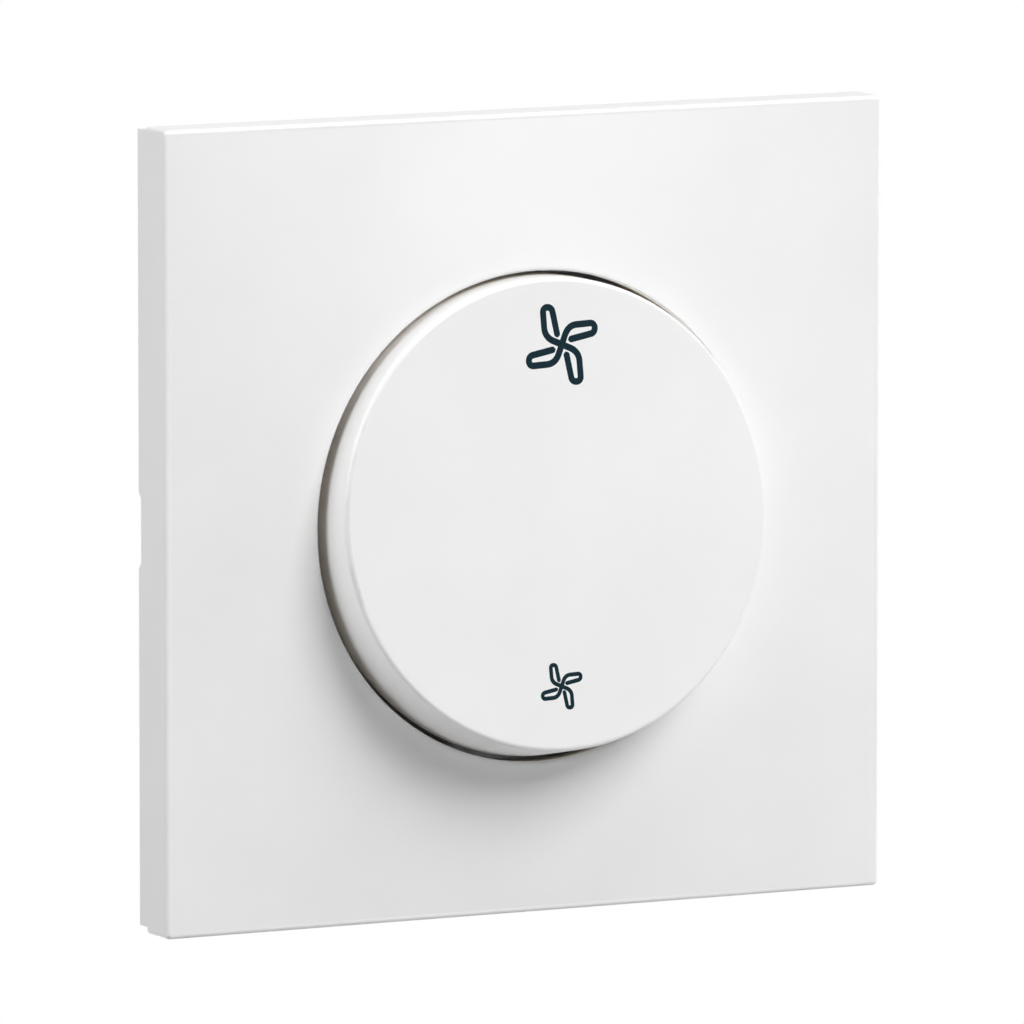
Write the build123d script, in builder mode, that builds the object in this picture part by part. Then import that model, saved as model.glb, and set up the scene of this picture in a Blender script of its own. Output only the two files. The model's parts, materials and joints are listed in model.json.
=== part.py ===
from build123d import *
from math import cos, hypot, radians, sin, tan
import os

os.makedirs("parts", exist_ok=True)

# Lengths are in millimetres. The wall is the plane Y = 0, the switch faces -Y and +Z is up.
# A height is measured out from the wall, and a depth goes back into the wall box.

# Cover plate
plate_size = 80.0
plate_side = 6.0  # height of its side walls
plate_wall = 1.9
plate_corner = 0.5
plate_edge_round = 0.45
plate_border = 0.6  # flat strip along the edges of the face
crown_rise = 2.5  # from that strip up to the rim of the opening
rim_gap = 1.0  # from the edge of the rocker's face to the opening
rim_land = 0.4  # flat ring round the opening
rim_edge = 0.2
collar_wall = 1.4
collar_reach = 4.6  # from the rim back towards the wall
collar_draft = 3.0  # degrees
lip_depth = 1.65  # the band of the side walls next to the wall
lip_setback_top = 0.3
lip_setback_bottom = 0.75
pry_length = 7.6
pry_depth = 0.5
pry_slope = 0.6
plate_rib = 1.0
plate_rib_height = 2.8  # from the wall to the free edge of a rib

# Hooks of the cover plate
plate_hook_x = 14.0
plate_hook_z = 29.15  # outer face of the stem
plate_hook_width = 6.4
plate_hook_stem = 1.3
plate_hook_barb = 0.7
plate_hook_drop = 1.5

# Rocker disc
face_radius = 23.5
face_round = 0.5
face_wall = 1.8
skirt_draft = 5.8  # degrees, above and below
side_draft = 0.5  # degrees, left and right
skirt_gap = 0.75  # left under the skirt where it is pressed in
skirt_wall = 1.4
pivot_reach = 7.4  # from the face back to the pivot axis
pivot_height = 5.1
rocker_tilt = 5.0  # degrees either side of level
disc_rib_gap = 0.45  # between the rib and the corners of the carrier
disc_rib_wall = 1.0
disc_rib_depth = 1.5

# Hooks of the rocker disc
disc_hook_x = 9.0
disc_hook_z = 11.6
disc_hook_width = 4.4
disc_hook_stem = 1.2
disc_hook_barb = 0.6
disc_hook_drop = 1.3

# Rocker carrier
carrier_width = 31.6
carrier_length = 26.0
carrier_thickness = 2.0
carrier_corner = 2.5
cheek_thickness = 2.4
cheek_gap = 0.3  # between the end of a cheek and the housing
cheek_root = 5.0  # half width where a cheek meets the plate
trunnion_radius = 2.0
trunnion_length = 2.6
carrier_rib = 1.2
tube_radius = 3.8
tube_bore = 2.8
tube_gap = 5.3  # from the open end of the tube to the blade's axis
tube_roof = 1.0  # thickness left over the bore

# Plunger and its spring
plunger_fit = 0.08
plunger_back = 3.6  # from the pivot axis back to its open end
plunger_reach = 0.6  # from the open end of the tube to the shoulder
plunger_socket = 2.0
plunger_socket_depth = 4.0
nose_radius = 1.4
nose_gap = 0.3  # between the nose and the blade
coil_wire = 0.24  # radius
coil_sides = 6
coil_turns = 6
coil_seat = 0.05  # at each end
coil_gap = 0.2  # between the coil and the plunger's socket

# Support yoke
yoke_gap = 2.6  # from its edges to the side walls of the cover plate
yoke_corner = 6.0
yoke_thickness = 1.0
screw_spacing = 60.0
slot_length = 9.0
slot_width = 4.4
tab_width = 9.0
tab_length = 7.0
tab_bend = 0.4  # inside radius
tab_relief = 1.0
tab_window_width = 4.4
tab_window_start = 2.3  # depth
tab_window_length = 2.4

# Mechanism housing
body_size = 41.0
body_corner = 6.0
body_wall = 1.6
body_depth = 21.0
flange_inset = 0.4  # from the edge of the rocker's face in to the flange's
flange_thickness = 1.4
ear_thickness = 2.4
ear_end = 3.4  # radius round the trunnion hole
ear_gap = 0.4  # between a cheek and its ear
stop_width = 8.0
stop_thickness = 2.0
stop_reach = 12.5  # from the pivot axis to the outer edge of a stop
stop_gap = 0.15
partition = 1.2
partition_gap = 0.6  # behind the output pads
lug_height = 0.8
lug_length = 2.0

# Rear cover
cover_thickness = 3.2
cover_edge = 0.6
loop_x = 8.0
loop_width = 6.4
loop_thickness = 1.2
loop_reach = 7.8  # along the housing
loop_bar = 1.7
loop_root = 1.5  # how far a loop grips into the cover
port_radius = 1.5
port_funnel = 0.5
port_x = 6.0
port_web = 0.8  # between a port's funnel and the lever's window
gauge_length = 12.0
gauge_width = 1.6
gauge_depth = 0.5
gauge_z = -7.0

# Contact blade and its buttons
blade_swing = 9.0  # degrees either side of level
blade_length = 24.0
blade_width = 5.0
blade_thickness = 0.8
blade_gap = 0.15  # between the ridge and the back of the blade
blade_ear = 0.6
blade_ear_height = 1.4
blade_ear_length = 10.0
button_radius = 1.7
button_height = 0.8
button_edge = 0.25
button_reach = 10.0  # from the axis
contact_gap = 0.1  # between the closed buttons

# Terminals
strip_thickness = 0.8
strip_bend = 1.2
strip_margin = 1.5  # beside the ports
strip_room = 1.4  # from its end to the rear cover
pad_width = 6.0
pad_inner = 7.6  # from the axis to the inner end of a pad
pad_neck = 14.2  # height above or below the axis where a strip widens
common_width = 8.0
common_foot = 2.6  # below the axis
common_gap = 0.8  # from the ridge's centre back to the plate
ridge_radius = 0.7
ridge_length = 5.0
wire_room = 1.6  # from a port's centre to the strip beside it
common_port_z = 3.4

# Clamp springs and release levers
leaf_thickness = 0.35
leaf_width = 4.6
leaf_bend = 1.0
leaf_base = 6.3  # from a port's centre to the leg that lies on a partition
leaf_setback = 0.5  # behind the front edge of the partition
leaf_length = 6.5
leaf_room = 0.3  # from its bend to the rear cover
leaf_turn = 4.2
leaf_tip = 1.2
leaf_tip_setback = 1.0
lever_height = 1.8
lever_offset = 2.2  # from a port's centre to the lever's
lever_recess = 0.2
lever_flange_margin = 0.3  # beside the leaves
lever_flange_height = 2.0
lever_flange = 0.8
lever_edge = 0.3
lever_slot_length = 3.2
lever_slot_width = 0.7
lever_slot_depth = 0.6

# Clearances
fit = 0.1  # between moulded or pressed pieces that seat on each other
body_gap = 0.2  # round the housing in the yoke, and round the levers in the cover
pivot_fit = 0.05
window_gap = 0.5  # at the ends of the hook windows
flex_gap = 0.9  # room for a hook to bend inwards
swing_gap = 1.0  # round the guide tube in the housing

# Sizes that follow
tilt = radians(rocker_tilt)
swing = radians(blade_swing)
rim_height = plate_side + crown_rise
opening_radius = face_radius + rim_gap
crown_radius = opening_radius + rim_land
crown_base = plate_size - 2 * plate_border
crown_run = crown_base / 2 - crown_radius
collar_end = rim_height - collar_reach
flange_size = 2 * (face_radius - flange_inset)
flange_front = yoke_thickness + flange_thickness
disc_under = pivot_reach - face_wall
carrier_under = disc_under - carrier_thickness
skirt_end = (flange_front + skirt_gap + face_radius * sin(tilt) - pivot_height) / cos(tilt)
skirt_start = pivot_reach - face_round
skirt_x = face_radius + (skirt_start - skirt_end) * tan(radians(side_draft))
skirt_z = face_radius + (skirt_start - skirt_end) * tan(radians(skirt_draft))
carrier_diagonal = hypot(carrier_width / 2 - carrier_corner, carrier_length / 2 - carrier_corner)
disc_rib_radius = carrier_diagonal + carrier_corner + disc_rib_gap
cheek_outer = carrier_width / 2
cheek_end = pivot_height - flange_front - cheek_gap
ear_inner = cheek_outer + ear_gap
yoke_size = plate_size - 2 * plate_wall - 2 * yoke_gap
body_half = body_size / 2
inner_half = body_half - body_wall
cover_depth = body_depth + cover_thickness
blade_lift = ridge_radius + blade_gap
blade_front = blade_lift + blade_thickness
button_face = button_height - blade_lift
pad_front = button_face + contact_gap + button_height
pad_middle = pad_front + strip_thickness / 2
pad_back = button_reach * sin(swing) + (pad_front + strip_thickness) * cos(swing)
leaf_back = body_depth - leaf_room
leaf_start = leaf_back - leaf_length
partition_start = leaf_start - leaf_setback
blade_axis_depth = partition_start - partition_gap - pad_back
tube_reach = pivot_height + blade_axis_depth - tube_gap
plunger_shoulder = tube_reach + plunger_reach
coil_radius = plunger_socket - coil_gap - coil_wire
common_plate_depth = blade_axis_depth + common_gap
strip_width = 2 * (port_x + port_radius + strip_margin)
strip_end = body_depth - strip_room
strip_height = inner_half - fit - strip_thickness / 2
output_port_z = strip_height - strip_thickness / 2 - wire_room
common_height = common_port_z + wire_room + strip_thickness / 2
lever_x = port_x - port_radius - port_funnel - port_web - body_gap  # half width of a lever
lever_flange_width = 2 * (port_x + lever_flange_margin) + leaf_width
nose_room = (pivot_height + blade_axis_depth) * cos(swing) - blade_front - nose_radius - nose_gap
nose_centre = nose_room / cos(tilt + swing)


def wall(height=0.0):
    return Plane.XZ.offset(height)


# The rocker rests with its upper half pressed in, and the blade with its lower arm closed.
side = Plane((0, 0, 0), x_dir=(0, 0, 1), z_dir=(1, 0, 0))
rocker = Plane((0, -pivot_height, 0), x_dir=(1, 0, 0), z_dir=(0, -cos(tilt), sin(tilt)))
rocker_side = Plane(rocker.origin, x_dir=rocker.y_dir, z_dir=rocker.x_dir)
rocker_radial = Plane(rocker.origin, x_dir=rocker.x_dir, z_dir=-rocker.y_dir)
rocker_axis = Axis(rocker.origin, rocker.z_dir)
blade = Plane((0, blade_axis_depth, 0), x_dir=(1, 0, 0), z_dir=(0, -cos(swing), -sin(swing)))


# The corners of a stem with a ramped barb, across and along: its root is up and its tip down.
def hook_corners(outer, stem, root, catch, barb, drop, sign):
    return [
        (sign * (outer - stem), root),
        (sign * outer, root),
        (sign * outer, catch),
        (sign * (outer + barb), catch),
        (sign * outer, catch - drop),
        (sign * (outer - stem), catch - drop),
    ]


# The corners of a snap wedge on a side of the housing, by depth and outwards: its near end is steep.
def lug_corners(start, sign):
    return [
        (start, sign * (body_half - body_wall / 2)),
        (start, sign * (body_half + lug_height)),
        (start + lug_length, sign * body_half),
        (start + lug_length, sign * (body_half - body_wall / 2)),
    ]


# A point beside an output pad, by its distance along the closed arm and behind the blade's axis.
def pad_point(along, behind, sign):
    depth = blade_axis_depth + along * sin(swing) + behind * cos(swing)
    return depth, sign * (along * cos(swing) - behind * sin(swing))


# Cover plate: a shell that rises from a square edge to the rim of its round opening
with BuildPart() as cover_plate:
    with BuildSketch(wall()):
        RectangleRounded(plate_size, plate_size, plate_corner)
    extrude(amount=plate_side)
    fillet(faces().sort_by(Axis.Y)[0].edges(), plate_edge_round)
    with BuildSketch(wall(plate_side)):
        RectangleRounded(crown_base, crown_base, plate_corner)
    with BuildSketch(wall(rim_height)):
        RectangleRounded(2 * crown_radius + fit, 2 * crown_radius + fit, crown_radius)
    loft(ruled=True)
    inner_size = plate_size - 2 * plate_wall
    with BuildSketch(wall()):
        RectangleRounded(inner_size, inner_size, plate_corner)
    extrude(amount=plate_side - plate_wall, mode=Mode.SUBTRACT)
    with BuildSketch(wall(plate_side - plate_wall)):
        RectangleRounded(inner_size, inner_size, plate_corner)
    with BuildSketch(wall(rim_height - plate_wall)):
        RectangleRounded(2 * crown_radius + fit, 2 * crown_radius + fit, crown_radius)
    loft(ruled=True, mode=Mode.SUBTRACT)
    with BuildSketch(wall(collar_end)):
        Circle(opening_radius + collar_wall)
    extrude(amount=collar_reach - plate_wall / 2)
    for angle in (45, 135, 225, 315):
        outwards = (cos(radians(angle)), 0, sin(radians(angle)))
        across = (sin(radians(angle)), 0, -cos(radians(angle)))
        rib_outer = (inner_size / 2 - plate_corner) * 2**0.5
        with BuildSketch(Plane((0, 0, 0), x_dir=outwards, z_dir=across)):
            with BuildLine():
                Polyline(
                    (opening_radius + collar_wall / 2, plate_rib_height),
                    (rib_outer, plate_rib_height),
                    (rib_outer, plate_side - plate_wall / 2),
                    (opening_radius + collar_wall / 2, rim_height - plate_wall / 2),
                    close=True,
                )
            make_face()
        extrude(amount=plate_rib / 2, both=True)
    with BuildSketch(wall(collar_end)):
        Circle(opening_radius + collar_reach * tan(radians(collar_draft)))
    extrude(amount=collar_reach + crown_rise, taper=collar_draft, mode=Mode.SUBTRACT)
    chamfer(faces().sort_by(Axis.Y)[0].edges().sort_by(SortBy.LENGTH)[-1], rim_edge)
    with BuildSketch(wall()):
        with Locations((0, (plate_size - lip_setback_top) / 2)):
            Rectangle(plate_size, lip_setback_top)
        with Locations((0, (lip_setback_bottom - plate_size) / 2)):
            Rectangle(plate_size, lip_setback_bottom)
    extrude(amount=lip_depth, mode=Mode.SUBTRACT)
    with BuildSketch(side):
        with BuildLine():
            Polyline(
                (-pry_length / 2, 0),
                (pry_length / 2, 0),
                (pry_length / 2 - pry_slope, pry_depth),
                (pry_slope - pry_length / 2, pry_depth),
                close=True,
            )
        make_face()
    extrude(amount=plate_size / 2, both=True, mode=Mode.SUBTRACT)
    hook_root = plate_side + crown_rise * (crown_base / 2 - plate_hook_z) / crown_run - plate_wall / 2
    plate_hook = (plate_hook_z, plate_hook_stem, hook_root, -fit, plate_hook_barb, plate_hook_drop)
    for column in (-plate_hook_x, plate_hook_x):
        for row in (-1, 1):
            with BuildSketch(side.offset(column - plate_hook_width / 2)):
                with BuildLine():
                    Polyline(*hook_corners(*plate_hook, row), close=True)
                make_face()
            extrude(amount=plate_hook_width)
cover_plate.part.label = "cover_plate"
export_step(cover_plate.part, "parts/cover_plate.step")

# Rocker disc: a flat-faced cap on a skirt that flares above and below, hooked on to the carrier
with BuildPart() as rocker_disc:
    with BuildSketch(rocker_radial):
        with BuildLine():
            Polyline((face_radius, skirt_start), (0, skirt_start), (0, pivot_reach))
            Line((0, pivot_reach), (face_radius - face_round, pivot_reach))
            CenterArc((face_radius - face_round, skirt_start), face_round, 0, 90)
        make_face()
    revolve(axis=rocker_axis)
    with BuildSketch(rocker.offset(skirt_start)):
        Circle(face_radius)
    with BuildSketch(rocker.offset(skirt_end)):
        Ellipse(skirt_x, skirt_z)
    loft(ruled=True)
    with BuildSketch(rocker.offset(disc_under)):
        Circle(face_radius - skirt_wall)
    with BuildSketch(rocker.offset(skirt_end)):
        Ellipse(skirt_x - skirt_wall, skirt_z - skirt_wall)
    loft(ruled=True, mode=Mode.SUBTRACT)
    with BuildSketch(rocker.offset(disc_under)):
        Circle(disc_rib_radius + disc_rib_wall)
        Circle(disc_rib_radius, mode=Mode.SUBTRACT)
    extrude(amount=-disc_rib_depth)
    disc_catch = carrier_under - fit
    disc_hook = (disc_hook_z, disc_hook_stem, disc_under, disc_catch, disc_hook_barb, disc_hook_drop)
    for column in (-disc_hook_x, disc_hook_x):
        for row in (-1, 1):
            with BuildSketch(rocker_side.offset(column - disc_hook_width / 2)):
                with BuildLine():
                    Polyline(*hook_corners(*disc_hook, row), close=True)
                make_face()
            extrude(amount=disc_hook_width)
rocker_disc.part.label = "rocker_disc"
export_step(rocker_disc.part, "parts/rocker_disc.step")

# Rocker carrier: a plate with two cheeks, their trunnions and the plunger's guide tube
with BuildPart() as rocker_carrier:
    with BuildSketch(rocker.offset(carrier_under)):
        RectangleRounded(carrier_width, carrier_length, carrier_corner)
        for row in (-1, 1):
            hook_room = disc_hook_stem + flex_gap + fit
            with Locations((0, row * (disc_hook_z + fit - hook_room / 2))):
                with GridLocations(2 * disc_hook_x, 1, 2, 1):
                    Rectangle(disc_hook_width + window_gap, hook_room, mode=Mode.SUBTRACT)
    extrude(amount=carrier_thickness)
    for sign in (-1, 1):
        with BuildSketch(rocker_side.offset(sign * (cheek_outer - cheek_thickness))):
            with BuildLine():
                Polyline(
                    (-cheek_end, 0),
                    (-cheek_root, carrier_under),
                    (cheek_root, carrier_under),
                    (cheek_end, 0),
                )
                CenterArc((0, 0), cheek_end, 180, 180)
            make_face()
        extrude(amount=sign * cheek_thickness)
        with BuildSketch(rocker_side.offset(sign * cheek_outer)):
            Circle(trunnion_radius)
        extrude(amount=sign * trunnion_length)
    with BuildSketch(rocker_side):
        with Locations((0, carrier_under / 2)):
            Rectangle(carrier_rib, carrier_under)
    extrude(amount=cheek_outer - cheek_thickness, both=True)
    with BuildSketch(rocker.offset(carrier_under)):
        Circle(tube_radius)
    extrude(amount=-carrier_under - tube_reach)
    with BuildSketch(rocker.offset(carrier_under - tube_roof)):
        Circle(tube_bore)
    extrude(amount=tube_roof - carrier_under - tube_reach, mode=Mode.SUBTRACT)
rocker_carrier.part.label = "rocker_carrier"
export_step(rocker_carrier.part, "parts/rocker_carrier.step")

# Toggle plunger: a round pin with a domed nose, hollow at the back for its spring
with BuildPart() as toggle_plunger:
    plunger_radius = tube_bore - plunger_fit
    with BuildSketch(rocker_radial):
        with BuildLine():
            socket_floor = -plunger_back - plunger_socket_depth
            Polyline(
                (0, socket_floor),
                (plunger_socket, socket_floor),
                (plunger_socket, -plunger_back),
                (plunger_radius, -plunger_back),
                (plunger_radius, -plunger_shoulder),
                (nose_radius, -plunger_shoulder),
                (nose_radius, -nose_centre),
            )
            CenterArc((0, -nose_centre), nose_radius, 0, -90)
            Line((0, -nose_centre - nose_radius), (0, socket_floor))
        make_face()
    revolve(axis=rocker_axis)
toggle_plunger.part.label = "toggle_plunger"
export_step(toggle_plunger.part, "parts/toggle_plunger.step")

# Toggle spring: a coil between the roof of the guide tube and the floor of the plunger's socket
with BuildPart() as toggle_spring:
    coil_start = -plunger_back - plunger_socket_depth + coil_wire + coil_seat
    coil_end = carrier_under - tube_roof - coil_wire - coil_seat
    coil_height = coil_end - coil_start
    with BuildLine() as coil:
        Helix(
            coil_height / coil_turns,
            coil_height,
            coil_radius,
            center=rocker.offset(coil_start).origin,
            direction=rocker.z_dir,
        )
    with BuildSketch(Plane(coil.line @ 0, z_dir=coil.line % 0)):
        RegularPolygon(coil_wire, coil_sides)
    sweep(path=coil.line, is_frenet=True)
toggle_spring.part.label = "toggle_spring"
export_step(toggle_spring.part, "parts/toggle_spring.step")

# Support yoke: a pressed steel frame with screw slots, hook windows and two gripping tabs
with BuildPart() as support_yoke:
    yoke_opening = body_size + 2 * body_gap
    with BuildSketch(wall()):
        RectangleRounded(yoke_size, yoke_size, yoke_corner)
        RectangleRounded(yoke_opening, yoke_opening, body_corner + body_gap, mode=Mode.SUBTRACT)
        with GridLocations(screw_spacing, 1, 2, 1):
            SlotOverall(slot_length, slot_width, mode=Mode.SUBTRACT)
        with GridLocations(1, screw_spacing, 1, 2):
            SlotOverall(slot_length, slot_width, rotation=90, mode=Mode.SUBTRACT)
        window_room = plate_hook_stem + flex_gap + fit
        with GridLocations(2 * plate_hook_x, 2 * (plate_hook_z + fit) - window_room, 2, 2):
            Rectangle(plate_hook_width + window_gap, window_room, mode=Mode.SUBTRACT)
        with GridLocations(yoke_opening + tab_relief, tab_width + tab_relief, 2, 2):
            Rectangle(yoke_thickness + tab_bend + tab_relief, tab_relief, mode=Mode.SUBTRACT)
    extrude(amount=yoke_thickness)
    with BuildSketch(wall(yoke_thickness)):
        with GridLocations(yoke_opening + yoke_thickness, 1, 2, 1):
            Rectangle(yoke_thickness, tab_width)
    extrude(amount=-yoke_thickness - tab_length)
    for depth, bend in ((0, tab_bend), (-yoke_thickness, tab_bend + yoke_thickness / 2)):
        bends = edges().filter_by(Axis.Z).filter_by_position(Axis.Y, depth - fit, depth + fit)
        bends = bends.filter_by_position(Axis.Z, -fit, fit)
        fillet(bends.filter_by(lambda edge: edge.length < tab_width + fit), bend)
    with BuildSketch(Plane.YZ):
        with Locations((tab_window_start + tab_window_length / 2, 0)):
            Rectangle(tab_window_length, tab_window_width)
    extrude(amount=yoke_size / 2, both=True, mode=Mode.SUBTRACT)
support_yoke.part.label = "support_yoke"
export_step(support_yoke.part, "parts/support_yoke.step")

# Mechanism housing: a box open at the back, with the pivot ears and stops on its flange
with BuildPart() as mechanism_housing:
    with BuildSketch(wall(flange_front)):
        RectangleRounded(body_size, body_size, body_corner)
    extrude(amount=-flange_front - body_depth)
    with BuildSketch(wall(yoke_thickness)):
        RectangleRounded(flange_size, flange_size, body_corner)
    extrude(amount=flange_thickness)
    with BuildSketch(wall(flange_front - body_wall)):
        RectangleRounded(2 * inner_half, 2 * inner_half, body_corner - body_wall)
    extrude(amount=body_wall - flange_front - body_depth, mode=Mode.SUBTRACT)
    with BuildSketch(wall(flange_front)):
        RectangleRounded(2 * (tube_radius + swing_gap), 2 * (tube_radius + swing_gap), tube_radius / 2)
    extrude(amount=-body_wall, mode=Mode.SUBTRACT)
    for sign in (-1, 1):
        with BuildSketch(side.offset(sign * ear_inner)):
            with Locations((0, pivot_height)):
                Circle(ear_end)
            with Locations((0, (pivot_height + flange_front) / 2)):
                Rectangle(2 * ear_end, pivot_height - flange_front)
            with Locations((0, pivot_height)):
                Circle(trunnion_radius + pivot_fit, mode=Mode.SUBTRACT)
        extrude(amount=sign * ear_thickness)
    with BuildSketch(wall(flange_front)):
        with GridLocations(1, 2 * stop_reach - stop_thickness, 1, 2):
            Rectangle(stop_width, stop_thickness)
    stop_top = pivot_height + carrier_under * cos(tilt) - stop_reach * sin(tilt) - stop_gap
    extrude(amount=stop_top - flange_front)
    leaf_seat = leaf_base + leaf_thickness / 2 + fit + partition / 2
    walls_at = [
        output_port_z - leaf_seat,
        leaf_seat - output_port_z,
        common_port_z - leaf_seat,
        common_height + strip_thickness / 2 + fit + partition / 2,
    ]
    with BuildSketch(wall(-partition_start)):
        with Locations(*[(0, level) for level in walls_at]):
            Rectangle(2 * inner_half + body_wall, partition)
    extrude(amount=partition_start + body_gap - body_depth)
    for sign in (-1, 1):
        for column in (-loop_x, loop_x):
            with BuildSketch(Plane.YZ.offset(column - loop_width / 4)):
                with BuildLine():
                    Polyline(*lug_corners(body_depth - loop_reach + loop_bar + fit, sign), close=True)
                make_face()
            extrude(amount=loop_width / 2)
        with BuildSketch(Plane.YX):
            with BuildLine():
                Polyline(*lug_corners(tab_window_start + fit, sign), close=True)
            make_face()
        extrude(amount=tab_window_width / 2 - body_gap, both=True)
mechanism_housing.part.label = "mechanism_housing"
export_step(mechanism_housing.part, "parts/mechanism_housing.step")

# Each terminal: its name, the height of its two ports, and which way its strip lies from them
terminals = [
    ("common", common_port_z, 1),
    ("fast", -output_port_z, -1),
    ("slow", output_port_z, 1),
]

# Rear cover: a lid with the wire ports and lever windows, held by four snap loops
with BuildPart() as rear_cover:
    with BuildSketch(wall(-cover_depth)):
        RectangleRounded(body_size, body_size, body_corner)
    extrude(amount=cover_thickness)
    chamfer(faces().sort_by(Axis.Y)[-1].edges(), cover_edge)
    loop_middle = body_half + fit + loop_thickness / 2
    with BuildSketch(wall(-cover_depth + cover_edge)):
        with GridLocations(2 * loop_x, 2 * loop_middle - loop_root, 2, 2):
            Rectangle(loop_width, loop_thickness + loop_root)
    extrude(amount=cover_thickness - cover_edge)
    with BuildSketch(wall(-body_depth)):
        with GridLocations(2 * loop_x, 2 * loop_middle, 2, 2):
            Rectangle(loop_width, loop_thickness)
    extrude(amount=loop_reach)
    with BuildSketch(wall(-body_depth + loop_reach - loop_bar)):
        with GridLocations(2 * loop_x, 2 * loop_middle, 2, 2):
            Rectangle(loop_width / 2 + 2 * body_gap, loop_thickness)
    extrude(amount=-lug_length - 2 * fit, mode=Mode.SUBTRACT)
    for name, port_z, sign in terminals:
        with BuildSketch(wall(-cover_depth)):
            with Locations((0, port_z)):
                with GridLocations(2 * port_x, 1, 2, 1):
                    Circle(port_radius)
            with Locations((0, port_z - sign * lever_offset)):
                Rectangle(2 * (lever_x + body_gap), lever_height + 2 * body_gap)
        extrude(amount=cover_thickness, mode=Mode.SUBTRACT)
        with BuildSketch(wall(-cover_depth)):
            with Locations((0, port_z)):
                with GridLocations(2 * port_x, 1, 2, 1):
                    Circle(port_radius + port_funnel)
        extrude(amount=port_funnel, taper=45, mode=Mode.SUBTRACT)
    with BuildSketch(wall(-cover_depth)):
        with Locations((0, gauge_z)):
            SlotOverall(gauge_length, gauge_width)
    extrude(amount=gauge_depth, mode=Mode.SUBTRACT)
rear_cover.part.label = "rear_cover"
export_step(rear_cover.part, "parts/rear_cover.step")

# Contact blade: a pressed strip with two ears that keep the plunger's nose between them
with BuildPart() as contact_blade:
    with BuildSketch(blade.offset(blade_lift)):
        RectangleRounded(blade_width, blade_length, blade_width / 4)
    extrude(amount=blade_thickness)
    with BuildSketch(blade.offset(blade_lift)):
        with GridLocations(blade_width + blade_ear, 1, 2, 1):
            Rectangle(blade_ear, blade_ear_length)
    extrude(amount=blade_thickness + blade_ear_height)
contact_blade.part.label = "contact_blade"
export_step(contact_blade.part, "parts/contact_blade.step")

# Common terminal: a bent strip whose ridge carries the blade
with BuildPart() as common_terminal:
    plate_middle = common_plate_depth + strip_thickness / 2
    with BuildSketch(Plane.YZ):
        with BuildLine():
            FilletPolyline(
                (strip_end, common_height),
                (plate_middle, common_height),
                (plate_middle, -common_foot),
                radius=strip_bend,
            )
        trace(line_width=strip_thickness)
    extrude(amount=strip_width / 2, both=True)
    with BuildSketch(wall(-common_plate_depth)):
        cut_top = common_height - strip_bend - strip_thickness / 2
        with Locations((0, (cut_top - common_foot) / 2)):
            with GridLocations((strip_width + common_width) / 2, 1, 2, 1):
                Rectangle((strip_width - common_width) / 2, cut_top + common_foot)
    extrude(amount=-2 * strip_thickness, mode=Mode.SUBTRACT)
    with BuildSketch(Plane.YZ):
        with Locations((blade_axis_depth, 0)):
            Circle(ridge_radius)
        with Locations((blade_axis_depth + common_gap / 2, 0)):
            Rectangle(common_gap, 2 * ridge_radius)
    extrude(amount=ridge_length / 2, both=True)
common_terminal.part.label = "common_terminal"
export_step(common_terminal.part, "parts/common_terminal.step")

# The fast circuit closes at the lower end of the blade, and the slow one at its upper end.
for name, sign in (("fast", -1), ("slow", 1)):
    with BuildPart() as output_terminal:
        bend_along = (strip_height + pad_middle * sin(swing)) / cos(swing)
        with BuildSketch(Plane.YZ):
            with BuildLine():
                FilletPolyline(
                    pad_point(pad_inner, pad_middle, sign),
                    pad_point(bend_along, pad_middle, sign),
                    (strip_end, sign * strip_height),
                    radius=strip_bend,
                )
            trace(line_width=strip_thickness)
        extrude(amount=strip_width / 2, both=True)
        with BuildSketch(wall(-blade_axis_depth)):
            with Locations((0, sign * pad_neck / 2)):
                with GridLocations((strip_width + pad_width) / 2, 1, 2, 1):
                    Rectangle((strip_width - pad_width) / 2, pad_neck)
        extrude(amount=blade_axis_depth - body_depth, mode=Mode.SUBTRACT)
    output_terminal.part.label = f"{name}_terminal"
    export_step(output_terminal.part, f"parts/{name}_terminal.step")

    with BuildPart() as fixed_contact:
        seat_depth, seat_height = pad_point(button_reach, pad_front, sign)
        seat_normal = (0, -cos(swing), sign * sin(swing))
        with BuildSketch(Plane((0, seat_depth, seat_height), x_dir=(1, 0, 0), z_dir=seat_normal)):
            Circle(button_radius)
        extrude(amount=button_height)
        chamfer(faces().sort_by(Axis.Y)[0].edges(), button_edge)
    fixed_contact.part.label = f"fixed_contact_{name}"
    export_step(fixed_contact.part, f"parts/fixed_contact_{name}.step")

    with BuildPart() as moving_contact:
        with BuildSketch(blade.offset(blade_lift)):
            with Locations((0, sign * button_reach)):
                Circle(button_radius)
        extrude(amount=-button_height)
        chamfer(faces().sort_by(Axis.Y)[-1].edges(), button_edge)
    moving_contact.part.label = f"moving_contact_{name}"
    export_step(moving_contact.part, f"parts/moving_contact_{name}.step")

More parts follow.
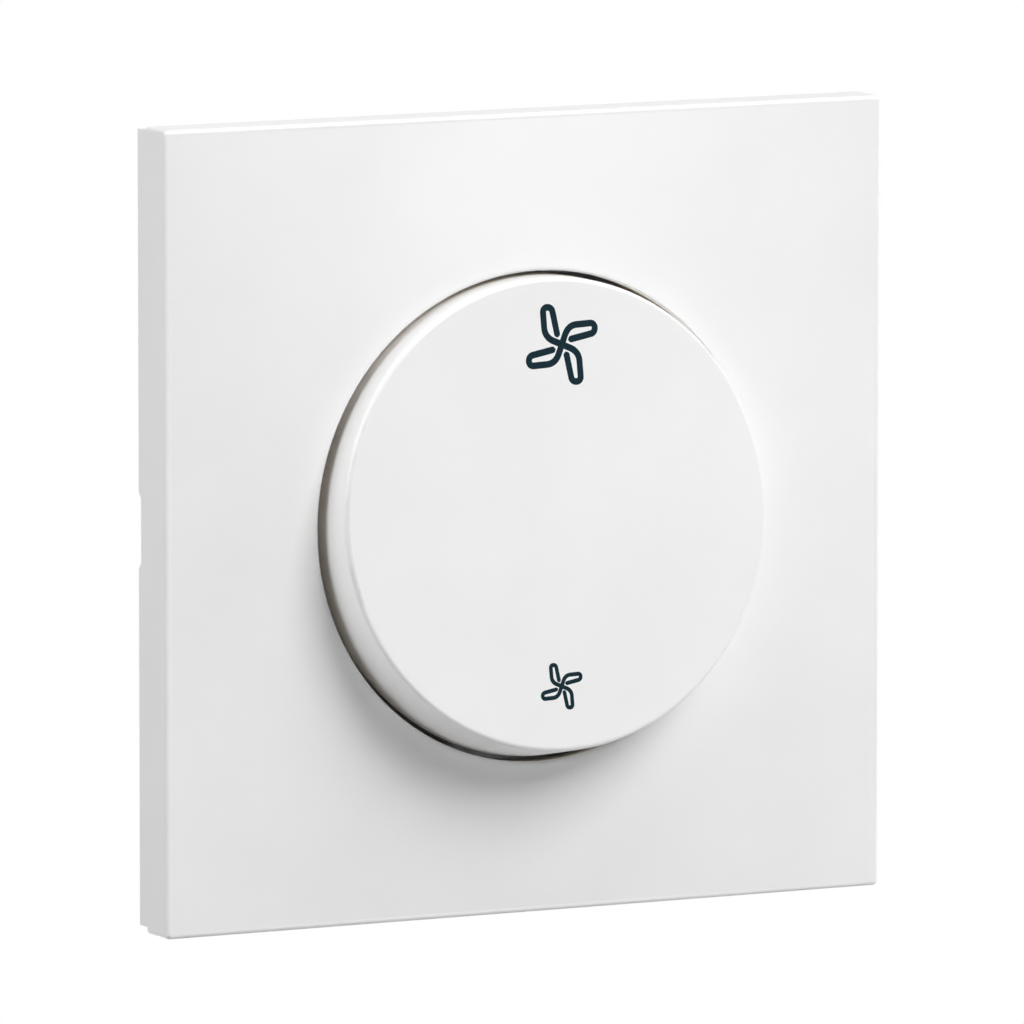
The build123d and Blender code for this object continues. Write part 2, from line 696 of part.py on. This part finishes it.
# Each terminal has a leaf spring beside both ports, and one lever that opens the pair
for name, port_z, sign in terminals:
    for hand, column in (("left", -port_x), ("right", port_x)):
        with BuildPart() as clamp_spring:
            with BuildSketch(Plane.YZ.offset(column)):
                with BuildLine():
                    FilletPolyline(
                        (leaf_start, port_z - sign * leaf_base),
                        (leaf_back, port_z - sign * leaf_base),
                        (leaf_back, port_z - sign * leaf_turn),
                        (leaf_start + leaf_tip_setback, port_z + sign * leaf_tip),
                        radius=leaf_bend,
                    )
                trace(line_width=leaf_thickness)
            extrude(amount=leaf_width / 2, both=True)
        clamp_spring.part.label = f"clamp_spring_{name}_{hand}"
        export_step(clamp_spring.part, f"parts/clamp_spring_{name}_{hand}.step")

    with BuildPart() as release_lever:
        with BuildSketch(wall(-body_depth + fit)):
            with Locations((0, port_z - sign * lever_offset)):
                Rectangle(lever_flange_width, lever_flange_height)
        extrude(amount=lever_flange)
        with BuildSketch(wall(-cover_depth + lever_recess)):
            with Locations((0, port_z - sign * lever_offset)):
                Rectangle(2 * lever_x, lever_height)
        extrude(amount=cover_thickness - lever_recess + fit)
        chamfer(faces().sort_by(Axis.Y)[-1].edges(), lever_edge)
        with BuildSketch(wall(-cover_depth + lever_recess)):
            with Locations((0, port_z - sign * lever_offset)):
                Rectangle(lever_slot_length, lever_slot_width)
        extrude(amount=lever_slot_depth, mode=Mode.SUBTRACT)
    release_lever.part.label = f"release_lever_{name}"
    export_step(release_lever.part, f"parts/release_lever_{name}.step")
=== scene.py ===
import json
import math

import bmesh
import bpy
from mathutils import Matrix, Vector


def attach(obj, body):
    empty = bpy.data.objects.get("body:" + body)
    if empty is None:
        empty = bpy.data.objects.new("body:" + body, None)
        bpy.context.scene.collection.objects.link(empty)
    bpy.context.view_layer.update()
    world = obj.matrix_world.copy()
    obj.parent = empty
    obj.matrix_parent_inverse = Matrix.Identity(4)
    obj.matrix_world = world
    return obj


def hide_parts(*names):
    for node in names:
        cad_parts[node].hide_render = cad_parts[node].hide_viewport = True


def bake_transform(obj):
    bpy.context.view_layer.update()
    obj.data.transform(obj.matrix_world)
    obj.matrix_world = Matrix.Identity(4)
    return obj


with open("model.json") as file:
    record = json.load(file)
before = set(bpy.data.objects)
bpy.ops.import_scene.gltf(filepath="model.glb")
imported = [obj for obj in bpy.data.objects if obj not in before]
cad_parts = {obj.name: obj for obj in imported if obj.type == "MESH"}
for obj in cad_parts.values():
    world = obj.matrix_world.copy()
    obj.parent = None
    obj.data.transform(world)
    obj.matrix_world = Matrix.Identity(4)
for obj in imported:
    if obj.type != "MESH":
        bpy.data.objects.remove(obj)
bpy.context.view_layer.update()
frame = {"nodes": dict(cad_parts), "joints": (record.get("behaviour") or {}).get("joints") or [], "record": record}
nodes = frame["nodes"]
millimetre = 0.001
noiseMiddle = 0.5  # a noise swings about this value
weldReach = 1e-7  # metres, corners nearer than this are one
print("frame loaded with", len(nodes), "pieces")


# an output socket that takes part in sums, so shader maths reads as plain arithmetic
class Wire:
    def __init__(self, tree, socket):
        self.tree = tree
        self.socket = socket

    def combine(self, operation, first, second):
        made = self.tree.nodes.new("ShaderNodeMath")
        made.operation = operation
        plug(self.tree, made.inputs[0], first)
        plug(self.tree, made.inputs[1], second)
        return Wire(self.tree, made.outputs[0])

    def __add__(self, other):
        return self.combine("ADD", self, other)

    def __radd__(self, other):
        return self.combine("ADD", other, self)

    def __sub__(self, other):
        return self.combine("SUBTRACT", self, other)

    def __rsub__(self, other):
        return self.combine("SUBTRACT", other, self)

    def __mul__(self, other):
        return self.combine("MULTIPLY", self, other)

    def __rmul__(self, other):
        return self.combine("MULTIPLY", other, self)

    def __lt__(self, other):
        return self.combine("LESS_THAN", self, other)

    def __gt__(self, other):
        return self.combine("GREATER_THAN", self, other)


def plug(tree, socket, value):
    if isinstance(value, Wire):
        tree.links.new(value.socket, socket)
    else:
        socket.default_value = value


# the nodes of one finish, kept in a material or in the world
class Finish:
    def __init__(self, owner):
        self.owner = owner
        owner.use_nodes = True
        self.tree = owner.node_tree
        self.tree.nodes.clear()

    def node(self, kind, settings, inputs, output=0):
        made = self.tree.nodes.new(kind)
        for key, value in settings.items():
            if key == "stops":
                for stop, (place, shade) in zip(made.color_ramp.elements, value):
                    stop.position = place
                    stop.color = shade
            else:
                setattr(made, key, value)
        for key, value in inputs.items():
            plug(self.tree, made.inputs[key], value)
        if not made.outputs:
            return None
        return Wire(self.tree, made.outputs[output])

    def place(self):
        return self.node("ShaderNodeTexCoord", {}, {}, "Object")

    def noise(self, scale, detail, stretch=(1, 1, 1)):
        spot = self.node("ShaderNodeMapping", {}, {"Vector": self.place(), "Scale": stretch})
        return self.node("ShaderNodeTexNoise", {}, {"Vector": spot, "Scale": scale, "Detail": detail})

    def blend(self, factor, first, second):
        # sockets 6 and 7 of a Mix node are its two colours, and output 2 the mixed one
        return self.node("ShaderNodeMix", {"data_type": "RGBA"}, {0: factor, 6: first, 7: second}, 2)

    def ramp(self, value, low, high):
        stops = [(low, (0, 0, 0, 1)), (high, (1, 1, 1, 1))]
        return self.node("ShaderNodeValToRGB", {"stops": stops}, {"Fac": value})

    def surface(self, shader):
        self.node("ShaderNodeOutputMaterial", {}, {"Surface": shader})
        return self.owner


def newFinish(name):
    return Finish(bpy.data.materials.new(name))


# moulded plastics: two shades that drift into each other as the melt flowed, and a satin grain
mouldedSkin = {
    "driftDetail": 3.0, "grainDetail": 2.0, "driftRange": (0.35, 0.65), "grainShare": 0.5, "index": 1.49,
}
whiteCover = {
    "light": (0.885, 0.885, 0.885, 1), "dark": (0.86, 0.86, 0.858, 1), "rough": 0.42, "roughDrift": 0.08,
    "driftScale": 60, "grainScale": 5200, "grainDepth": 0.004, "grainStrength": 0.25,
    # painted warm bounce light: the wall of the opening is coloured warmer, in place of light bounced in the gap
    "paintedBounceWell": {"inner": 24.1, "outer": 24.9, "below": 8.2, "shade": (0.96, 0.86, 0.72, 1)},
}
paleMoulding = {
    "light": (0.74, 0.71, 0.64, 1), "dark": (0.68, 0.645, 0.57, 1), "rough": 0.38, "roughDrift": 0.1,
    "driftScale": 120, "grainScale": 3800, "grainDepth": 0.006, "grainStrength": 0.3,
}
greyMoulding = {
    "light": (0.56, 0.56, 0.55, 1), "dark": (0.48, 0.48, 0.475, 1), "rough": 0.5, "roughDrift": 0.12,
    "driftScale": 90, "grainScale": 3000, "grainDepth": 0.012, "grainStrength": 0.4,
}
leverMoulding = {
    "light": (0.075, 0.08, 0.085, 1), "dark": (0.05, 0.053, 0.057, 1), "rough": 0.44, "roughDrift": 0.12,
    "driftScale": 200, "grainScale": 3600, "grainDepth": 0.01, "grainStrength": 0.4,
}


# mask of the painted warm bounce light: one on the wall of the plate's round opening and nought elsewhere,
# in millimetres: inner and outer from the opening's middle, below from the room's wall
def inPaintedBounceWell(finish, paintedBounceWell):
    place = finish.place()
    flat = finish.node("ShaderNodeVectorMath", {"operation": "MULTIPLY"}, {0: place, 1: (1, 0, 1)})
    reach = finish.node("ShaderNodeVectorMath", {"operation": "LENGTH"}, {0: flat}, "Value")
    out = finish.node("ShaderNodeVectorMath", {"operation": "DOT_PRODUCT"}, {0: place, 1: (0, -1, 0)}, "Value")
    ring = (reach > paintedBounceWell["inner"] * millimetre) * (reach < paintedBounceWell["outer"] * millimetre)
    return ring * (out < paintedBounceWell["below"] * millimetre)


def mouldedPlastic(name, look):
    finish = newFinish(name)
    drift = finish.noise(look["driftScale"], mouldedSkin["driftDetail"])
    grain = finish.noise(look["grainScale"], mouldedSkin["grainDetail"])
    shade = finish.blend(finish.ramp(drift, *mouldedSkin["driftRange"]), look["dark"], look["light"])
    # painted warm bounce light: a warmer colour on the wall of the opening, in place of light bounced in the gap
    if "paintedBounceWell" in look:
        shade = finish.blend(inPaintedBounceWell(finish, look["paintedBounceWell"]), shade, look["paintedBounceWell"]["shade"])
    rough = look["rough"] + look["roughDrift"] * (drift - noiseMiddle)
    rough = rough + mouldedSkin["grainShare"] * look["roughDrift"] * (grain - noiseMiddle)
    bump = finish.node("ShaderNodeBump", {}, {
        "Strength": look["grainStrength"], "Distance": look["grainDepth"] * millimetre, "Height": grain})
    return finish.surface(finish.node("ShaderNodeBsdfPrincipled", {}, {
        "Base Color": shade, "Roughness": rough, "IOR": mouldedSkin["index"], "Normal": bump}))


# bare and plated metals: rolling streaks, a mottle of tarnish and a little scatter in the gloss
rolledSkin = {
    "smooth": 0.6, "streakDetail": 3.0, "tarnishRange": (0.3, 0.62), "mottleShare": 0.5, "strength": 0.35,
}
zincSteel = {
    "light": (0.5, 0.51, 0.53, 1), "dark": (0.4, 0.412, 0.435, 1), "rough": 0.48, "roughDrift": 0.16,
    "mottle": 0.15, "mottleScale": 420, "streakScale": 900, "streak": (1, 1, 0.06), "depth": 0.01,
}
springSteel = {
    "light": (0.62, 0.62, 0.63, 1), "dark": (0.42, 0.42, 0.44, 1), "rough": 0.26, "roughDrift": 0.14,
    "mottle": 0.55, "mottleScale": 600, "streakScale": 2400, "streak": (0.08, 1, 1), "depth": 0.004,
}
copperStrip = {
    "light": (0.86, 0.57, 0.38, 1), "dark": (0.62, 0.36, 0.22, 1), "rough": 0.28, "roughDrift": 0.16,
    "mottle": 0.55, "mottleScale": 500, "streakScale": 1800, "streak": (1, 0.08, 0.08), "depth": 0.004,
}
silverButton = {
    "light": (0.92, 0.91, 0.88, 1), "dark": (0.74, 0.72, 0.67, 1), "rough": 0.22, "roughDrift": 0.14,
    "mottle": 0.55, "mottleScale": 1200, "streakScale": 3000, "streak": (1, 1, 1), "depth": 0.003,
}


def rolledMetal(name, look):
    finish = newFinish(name)
    mottle = finish.node("ShaderNodeTexVoronoi", {"feature": "SMOOTH_F1"}, {
        "Vector": finish.place(), "Scale": look["mottleScale"], "Smoothness": rolledSkin["smooth"]})
    streak = finish.noise(look["streakScale"], rolledSkin["streakDetail"], look["streak"])
    spots = look["mottle"] * mottle + (1 - look["mottle"]) * streak
    shade = finish.blend(finish.ramp(spots, *rolledSkin["tarnishRange"]), look["light"], look["dark"])
    rough = look["rough"] + look["roughDrift"] * (streak - noiseMiddle)
    rough = rough + rolledSkin["mottleShare"] * look["roughDrift"] * mottle
    bump = finish.node("ShaderNodeBump", {}, {
        "Strength": rolledSkin["strength"], "Distance": look["depth"] * millimetre, "Height": streak})
    return finish.surface(finish.node("ShaderNodeBsdfPrincipled", {}, {
        "Base Color": shade, "Roughness": rough, "Metallic": 1.0, "Normal": bump}))


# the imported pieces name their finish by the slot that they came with
finishes = {
    "white_cover": mouldedPlastic("whiteCover", whiteCover),
    "pale_moulding": mouldedPlastic("paleMoulding", paleMoulding),
    "grey_moulding": mouldedPlastic("greyMoulding", greyMoulding),
    "lever_moulding": mouldedPlastic("leverMoulding", leverMoulding),
    "zinc_steel": rolledMetal("zincSteel", zincSteel),
    "spring_steel": rolledMetal("springSteel", springSteel),
    "copper_strip": rolledMetal("copperStrip", copperStrip),
    "silver_button": rolledMetal("silverButton", silverButton),
}
slots = {piece["node"]: piece["material_slot"] for piece in frame["record"]["subparts"]}
for node, slot in slots.items():
    nodes[node].material_slots[0].material = finishes[slot]
print("finishes on", len(slots), "pieces")


# the plate's crown as one smooth skin, as a film lies between the round rim and the square edge of the plate
crownSkin = {
    "name": "crowned_plate", "node": "cover_plate", "body": "base",
    "side": 6.0, "rise": 2.5, "rim": 24.95, "edge": 39.4,  # millimetres, rim and edge from the middle
    "film": (1.879412, 0.140652, 0.003956, 0.000189),  # the round share, then the waves that square it
    "corners": 4, "longest": 2.5, "passes": 6, "near": 0.02,  # longest edge, cuts to get there, slack of a test
}


def crownHeight(look, across, up):
    reach, turn = math.hypot(across, up), math.atan2(up, across)
    fall = look["film"][0] * math.log(reach / look["rim"])
    for wave, share in enumerate(look["film"][1:], 1):
        repeats = look["corners"] * wave
        outer = (reach / look["edge"]) ** repeats
        inner = (look["rim"] ** 2 / (look["edge"] * reach)) ** repeats
        fall += share * (outer - inner) * math.cos(repeats * turn)
    return look["rise"] * (1 - fall)


def crownNormal(look, across, up):
    step = look["near"]
    slope = crownHeight(look, across + step, up) - crownHeight(look, across - step, up)
    climb = crownHeight(look, across, up + step) - crownHeight(look, across, up - step)
    return Vector((-slope, -2 * step, -climb)).normalized()


# a face is the crown's if it lies between rim and edge, and on the film or proud of it
def onCrown(look, face):
    for vert in face.verts:
        across, out, up = vert.co / millimetre
        if math.hypot(across, up) < look["rim"] - look["near"]:
            return False
        if max(abs(across), abs(up)) > look["edge"] + look["near"]:
            return False
        if -out < look["side"] + crownHeight(look, across, up) - look["near"]:
            return False
    return True


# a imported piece's mesh with its loose triangles joined, and the way that each corner faces kept beside it
def mergedCopy(node):
    source = nodes[node].data
    corners = iter([corner.vector.copy() for corner in source.corner_normals])
    shape = bmesh.new()
    shape.from_mesh(source)
    facing = shape.loops.layers.float_vector.new("facing")
    for face in shape.faces:
        for loop in face.loops:
            loop[facing] = next(corners)
    bmesh.ops.remove_doubles(shape, verts=shape.verts, dist=weldReach)
    return shape


# the object made of such a copy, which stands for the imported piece
def standIn(name, node, shape):
    slot = slots[node]
    mesh = bpy.data.meshes.new(name)
    shape.to_mesh(mesh)
    shape.free()
    mesh.normals_split_custom_set([corner.vector for corner in mesh.attributes["facing"].data])
    mesh.attributes.remove(mesh.attributes["facing"])
    mesh.materials.clear()
    mesh.materials.append(finishes[slot])
    piece = bpy.data.objects.new(name, mesh)
    bpy.context.scene.collection.objects.link(piece)
    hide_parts(node)
    return piece


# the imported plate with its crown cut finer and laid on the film, and every other face as it came
def crownedPlate(look):
    shape = mergedCopy(look["node"])
    longest = look["longest"] * millimetre
    for cut in range(look["passes"]):
        skin = [face for face in shape.faces if onCrown(look, face)]
        long = {edge for face in skin for edge in face.edges if edge.calc_length() > longest}
        bmesh.ops.subdivide_edges(shape, edges=list(long), cuts=1, use_single_edge=True)
        bmesh.ops.triangulate(shape, faces=[face for face in shape.faces if len(face.verts) > 3])
    skin = [face for face in shape.faces if onCrown(look, face)]
    for vert in {vert for face in skin for vert in face.verts}:
        height = crownHeight(look, vert.co.x / millimetre, vert.co.z / millimetre)
        vert.co.y = -(look["side"] + height) * millimetre
    facing = shape.loops.layers.float_vector["facing"]
    for face in skin:
        face.smooth = True
        for loop in face.loops:
            loop[facing] = crownNormal(look, loop.vert.co.x / millimetre, loop.vert.co.z / millimetre)
    return standIn(look["name"], look["node"], shape)


plate = crownedPlate(crownSkin)
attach(plate, crownSkin["body"])
print("crowned plate has", len(plate.data.polygons), "faces")


# springs as merged copies of the imported pieces, with their places baked in; of each, what lies before start
# belongs with one body and what lies past end with the other
toggleSpring = {
    "node": "toggle_spring", "still": "rocker", "moved": "plunger",
    "start": (0, -7.5, 0.2), "end": (0, 2.0, -0.6),
}
clampSprings = {
    "still": "base", "sides": ("left", "right"),
    # heights of the foot that stays and of the tongue that the lever bends
    "circuits": {"common": (-2.0, 0.1), "slow": (11.0, 13.1), "fast": (-11.0, -13.1)},
}


def givingSpring(look):
    spring = standIn("giving_" + look["node"], look["node"], mergedCopy(look["node"]))
    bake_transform(spring)


givingSpring(toggleSpring)
for circuit, (foot, tongue) in clampSprings["circuits"].items():
    for side in clampSprings["sides"]:
        givingSpring({
            "node": f"clamp_spring_{circuit}_{side}",
            "still": clampSprings["still"], "moved": f"lever_{circuit}",
            "start": (0, 0, foot), "end": (0, 0, tongue)})


# fan signs: each is two S-shaped strokes that cross at the hub, printed on the face of the rocker
fanSign = {
    "film": 0.04, "steps": 18, "sides": 5,  # thickness in millimetres, and how finely a stroke is cut
    "turns": (0, 90),  # how each of the two strokes is turned, in degrees
    # half a stroke, from its free end in to the hub: across, up, heading in degrees, handles back and ahead
    "knots": [
        (-0.486, 1.075, 100.55, 0.12, 0.75),
        (-0.899, 3.293, 100.55, 0.75, 0.64),
        (-1.956, 3.247, 272.3, 0.64, 0.5),
        (-1.895, 1.734, 272.3, 0.5, 0.653),
        (-0.902, 0.384, 336.9, 0.653, 0.653),
    ],
    "roundEnd": (1.0, 0.95, 0.8, 0.5),  # steps along a free end, as shares of half the stroke
    "endHandle": 0.02, "endWidth": 0.03,  # handles of those steps, and the share of the stroke left at the tip
    "ink": {
        "light": (0.0126, 0.0317, 0.042, 1), "dark": (0.0078, 0.0229, 0.0316, 1), "rough": 0.55,
        "roughDrift": 0.12, "shine": 0.03, "mottleScale": 2600, "mottleDetail": 2.0,
        "grainDepth": 0.002, "grainStrength": 0.2,
    },
    # place on the face, from its middle, size beside the large sign, and width of the stroke at full size
    "places": {
        "fan_sign_fast": {"across": 1.246, "up": 16.763, "size": 1.0, "stroke": 0.678},
        "fan_sign_slow": {"across": -0.309, "up": -17.018, "size": 0.576, "stroke": 0.729},
    },
}


def signInk(look):
    finish = newFinish("signInk")
    mottle = finish.noise(look["mottleScale"], look["mottleDetail"])
    shade = finish.blend(mottle, look["dark"], look["light"])
    rough = look["rough"] + look["roughDrift"] * (mottle - noiseMiddle)
    bump = finish.node("ShaderNodeBump", {}, {
        "Strength": look["grainStrength"], "Distance": look["grainDepth"] * millimetre, "Height": mottle})
    return finish.surface(finish.node("ShaderNodeBsdfPrincipled", {}, {
        "Base Color": shade, "Roughness": rough, "Specular IOR Level": look["shine"], "Normal": bump}))


def heading(degrees):
    return Vector((math.cos(math.radians(degrees)), math.sin(math.radians(degrees)), 0))


# the knots of a whole stroke: place, heading, handles and width, from one free end to the other
def strokeKnots(sign, stroke):
    half = []
    across, up, degrees = sign["knots"][0][:3]
    handle = sign["endHandle"]
    for share in sign["roundEnd"]:
        spot = Vector((across, up, 0)) - heading(degrees) * share * stroke / 2
        half.append((spot, degrees, handle, handle, max(sign["endWidth"], math.sqrt(1 - share * share))))
    for across, up, degrees, back, ahead in sign["knots"]:
        half.append((Vector((across, up, 0)), degrees, back, ahead, 1.0))
    # the other half is this one turned about the hub
    mirrored = [(-spot, degrees, ahead, back, width) for spot, degrees, back, ahead, width in reversed(half)]
    return half + mirrored


# what an object looks like with its bevel or its modifiers done
def finishedMesh(holder):
    return bpy.data.meshes.new_from_object(holder.evaluated_get(bpy.context.evaluated_depsgraph_get()))


def strokeMesh(sign, stroke, turn):
    curve = bpy.data.curves.new("fanStroke", "CURVE")
    curve.dimensions = "3D"
    curve.bevel_depth = stroke / 2
    curve.bevel_resolution = sign["sides"]
    curve.resolution_u = sign["steps"]
    curve.use_fill_caps = True
    knots = strokeKnots(sign, stroke)
    spline = curve.splines.new("BEZIER")
    spline.bezier_points.add(len(knots) - 1)
    for point, (spot, degrees, back, ahead, width) in zip(spline.bezier_points, knots):
        point.handle_left_type = "FREE"
        point.handle_right_type = "FREE"
        point.co = spot
        point.handle_left = spot - heading(degrees) * back
        point.handle_right = spot + heading(degrees) * ahead
        point.radius = width
    holder = bpy.data.objects.new("fanStroke", curve)
    bpy.context.scene.collection.objects.link(holder)
    mesh = finishedMesh(holder)
    bpy.data.objects.remove(holder)
    mesh.transform(Matrix.Rotation(math.radians(turn), 4, "Z"))
    return mesh


# two strokes joined into one closed skin
def crossedStrokes(sign, width):
    shapes = [strokeMesh(sign, width, turn) for turn in sign["turns"]]
    first, second = (bpy.data.objects.new("fanStroke", shape) for shape in shapes)
    for stroke in (first, second):
        bpy.context.scene.collection.objects.link(stroke)
    union = first.modifiers.new("union", "BOOLEAN")
    union.operation = "UNION"
    union.solver = "EXACT"
    union.object = second
    mesh = finishedMesh(first)
    for stroke in (first, second):
        bpy.data.objects.remove(stroke)
    return mesh


# the rocker's face, from the joint that it turns on and its own outermost point
tilt = next(joint for joint in frame["joints"] if joint["name"] == "rocker_tilt")
pivot = Vector(tilt["pos_m"])
lean = math.radians(sum(tilt["range_deg"]) / 2)
faceOut = Vector((0, -math.cos(lean), math.sin(lean)))
faceUp = Vector((0, math.sin(lean), math.cos(lean)))
faceReach = max((vertex.co - pivot).dot(faceOut) for vertex in nodes["rocker_disc"].data.vertices)
faceMiddle = pivot + faceOut * faceReach

ink = signInk(fanSign["ink"])
turned = Matrix((Vector((1, 0, 0)), faceUp, faceOut)).transposed().to_4x4()
for name, place in fanSign["places"].items():
    mesh = crossedStrokes(fanSign, place["stroke"])
    middle = faceMiddle + Vector((place["across"] * millimetre, 0, 0)) + faceUp * place["up"] * millimetre
    flat = Matrix.Diagonal((place["size"], place["size"], fanSign["film"] / place["stroke"], 1))
    mesh.transform(Matrix.Translation(middle) @ turned @ flat @ Matrix.Scale(millimetre, 4))
    mesh.shade_smooth()
    mesh.materials.append(ink)
    sign = bpy.data.objects.new(name, mesh)
    bpy.context.scene.collection.objects.link(sign)
    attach(sign, "rocker")
    print(name, "has", len(mesh.polygons), "faces")


# studio: soft boxes round the switch by azimuth, elevation, distance and side, with their power in watts
studio = {
    "sky": 0.0, "floorLevel": -0.6, "floorSide": 12.0, "floorShade": (0.86, 0.86, 0.86, 1),
    "whiteNear": 0.9, "whiteFar": 1.0,  # how white the floor looks under the switch and well away from it
    "fade": 0.25, "fadeRange": (0.2, 0.5),  # a metre is this much of the ramp, which turns white over this range
    "white": (1, 1, 1, 1),
    "boxes": {
        "keyBox": {"azimuth": 25, "elevation": 42, "distance": 1.1, "side": 0.55, "watts": 12.6},
        "sideBox": {"azimuth": -88, "elevation": 20, "distance": 1.1, "side": 0.6, "watts": 4.25},
        "nearBox": {"azimuth": -88, "elevation": 30, "distance": 0.6, "side": 0.35, "watts": 1.12},
        "lowBox": {"azimuth": 60, "elevation": -35, "distance": 0.5, "side": 0.3, "watts": 0.54},
        "backBox": {"azimuth": 165, "elevation": -20, "distance": 1.1, "side": 0.6, "watts": 2.4},
    },
    "aim": Vector((0, -0.006, 0)),
}


def around(azimuth, elevation):
    a, e = math.radians(azimuth), math.radians(elevation)
    return Vector((math.sin(a) * math.cos(e), -math.cos(a) * math.cos(e), math.sin(e)))


# white to the eye and in mirrors, and a plain lit shade to every other ray
def seenWhite(finish, lit, white, share):
    seen = finish.node("ShaderNodeLightPath", {}, {}, "Is Camera Ray")
    seen = seen + finish.node("ShaderNodeLightPath", {}, {}, "Is Glossy Ray")
    seen = seen + finish.node("ShaderNodeLightPath", {}, {}, "Is Transmission Ray")
    return finish.node("ShaderNodeMixShader", {}, {0: seen * share, 1: lit, 2: white})


def layFloor():
    shape = bmesh.new()
    bmesh.ops.create_grid(shape, x_segments=1, y_segments=1, size=studio["floorSide"] / 2)
    bmesh.ops.translate(shape, verts=shape.verts, vec=(0, 0, studio["floorLevel"]))
    mesh = bpy.data.meshes.new("studioFloor")
    shape.to_mesh(mesh)
    shape.free()
    finish = newFinish("studioFloor")
    lit = finish.node("ShaderNodeBsdfDiffuse", {}, {"Color": studio["floorShade"]})
    white = finish.node("ShaderNodeEmission", {}, {"Color": studio["white"], "Strength": 1.0})
    away = finish.node("ShaderNodeVectorMath", {"operation": "LENGTH"}, {0: finish.place()}, "Value")
    far = finish.ramp(away * studio["fade"], *studio["fadeRange"])
    share = studio["whiteNear"] + (studio["whiteFar"] - studio["whiteNear"]) * far
    mesh.materials.append(finish.surface(seenWhite(finish, lit, white, share)))
    floor = bpy.data.objects.new("studioFloor", mesh)
    bpy.context.scene.collection.objects.link(floor)


def hangSky():
    world = bpy.data.worlds.new("studioSky")
    bpy.context.scene.world = world
    finish = Finish(world)
    lit = finish.node("ShaderNodeBackground", {}, {"Color": studio["white"], "Strength": studio["sky"]})
    white = finish.node("ShaderNodeBackground", {}, {"Color": studio["white"], "Strength": 1.0})
    finish.node("ShaderNodeOutputWorld", {}, {"Surface": seenWhite(finish, lit, white, 1.0)})


def setBox(name, box):
    light = bpy.data.lights.new(name, "AREA")
    light.shape = "SQUARE"
    light.size = box["side"]
    light.energy = box["watts"]
    lamp = bpy.data.objects.new(name, light)
    away = around(box["azimuth"], box["elevation"])
    lamp.location = studio["aim"] + away * box["distance"]
    lamp.rotation_euler = away.to_track_quat("Z", "Y").to_euler()
    lamp.visible_camera = False
    bpy.context.scene.collection.objects.link(lamp)


layFloor()
hangSky()
for name, box in studio["boxes"].items():
    setBox(name, box)
print("studio lit by", len(studio["boxes"]), "soft boxes")


# camera: where the photograph was taken from, with a long lens
camera = {
    "azimuth": -27.629, "elevation": 7.003, "distance": 1.4982, "aim": Vector((-0.001693, -0.006, 0.000274)),
    "lens": 530.9, "sensor": 36.0, "clipStart": 0.05, "clipEnd": 50,
}


def setCamera():
    data = bpy.data.cameras.new("photoCamera")
    data.lens = camera["lens"]
    data.sensor_width = camera["sensor"]
    data.clip_start = camera["clipStart"]
    data.clip_end = camera["clipEnd"]
    view = bpy.data.objects.new("photoCamera", data)
    away = around(camera["azimuth"], camera["elevation"])
    view.location = camera["aim"] + away * camera["distance"]
    view.rotation_euler = away.to_track_quat("Z", "Y").to_euler()
    bpy.context.scene.collection.objects.link(view)
    bpy.context.scene.camera = view


setCamera()
bpy.context.scene.view_settings.view_transform = "Standard"
print("camera set")
